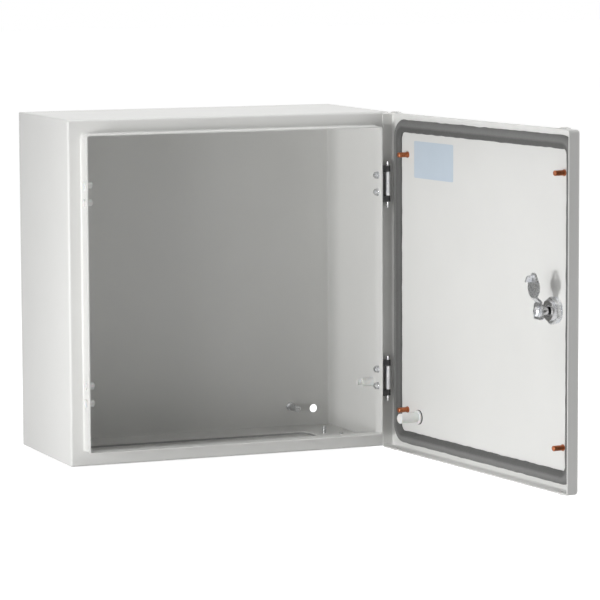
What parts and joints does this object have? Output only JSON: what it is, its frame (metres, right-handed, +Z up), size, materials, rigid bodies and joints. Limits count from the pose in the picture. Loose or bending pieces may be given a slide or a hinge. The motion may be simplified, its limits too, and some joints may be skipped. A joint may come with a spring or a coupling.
{
  "type": "steel wall enclosure",
  "caption": "Square sheet-steel wall enclosure with a hinged door, foamed gasket, cam lock, wall holes and a cable gland plate in the floor.",
  "frame": {"origin": "centre of the back face, on the wall", "axes": "+X towards the hinge side, -Y out of the wall towards the front, +Z up"},
  "size_m": [0.4489, 0.5876, 0.4075],
  "materials": {
    "painted_steel": "light grey textured powder coat",
    "zinc_steel": "bright zinc plate",
    "black_steel": "black passivated zinc",
    "zinc_cast": "satin nickel on die-cast zinc",
    "copper_steel": "copper-plated steel",
    "pale_plastic": "smooth off-white plastic",
    "seal_foam": "dark grey closed-cell foam",
    "seal_rubber": "black rubber",
    "label_film": "plain pale blue film"
  },
  "bodies": {
    "cabinet": {"body_wrap": "painted_steel", "top_panel": "painted_steel", "bottom_panel": "painted_steel", "mounting_plate_studs": "zinc_steel", "gland_plate": "painted_steel", "gland_plate_gasket": "seal_foam", "gland_plate_screws": "zinc_steel", "body_earth_stud": "zinc_steel", "body_earth_cap": "pale_plastic", "collar_plugs": "pale_plastic", "hinge_bracket_upper": "black_steel", "hinge_bracket_lower": "black_steel", "hinge_pin_upper": "zinc_steel", "hinge_pin_lower": "zinc_steel", "hinge_screws": "zinc_steel", "hinge_washers": "zinc_steel", "hinge_nuts": "zinc_steel"},
    "door": {"door_panel": "painted_steel", "door_gasket": "seal_foam", "door_studs": "copper_steel", "door_label": "label_film", "door_earth_stud": "zinc_steel", "door_earth_cap": "pale_plastic", "door_earth_washer": "seal_rubber", "hinge_barrel_upper": "zinc_steel", "hinge_barrel_lower": "zinc_steel", "lock_housing": "zinc_cast", "lock_seal": "seal_rubber", "lock_washer": "zinc_steel", "lock_nut": "zinc_steel"},
    "cam": {"lock_spindle": "zinc_cast", "lock_cam": "zinc_steel", "cam_washer": "zinc_steel", "cam_screw": "zinc_steel"}
  },
  "joints": [
    {"name": "door_hinge", "type": "hinge", "parent": "cabinet", "child": "door", "pos_m": [0.1923, -0.198, 0], "axis": [0, 0, 1], "range_deg": [-96.5, 21.5]},
    {"name": "lock_turn", "type": "hinge", "parent": "door", "child": "cam", "pos_m": [0.24188, -0.54039, -0.001], "axis": [0.9936, 0.1132, 0], "range_deg": [0, 90]}
  ]
}
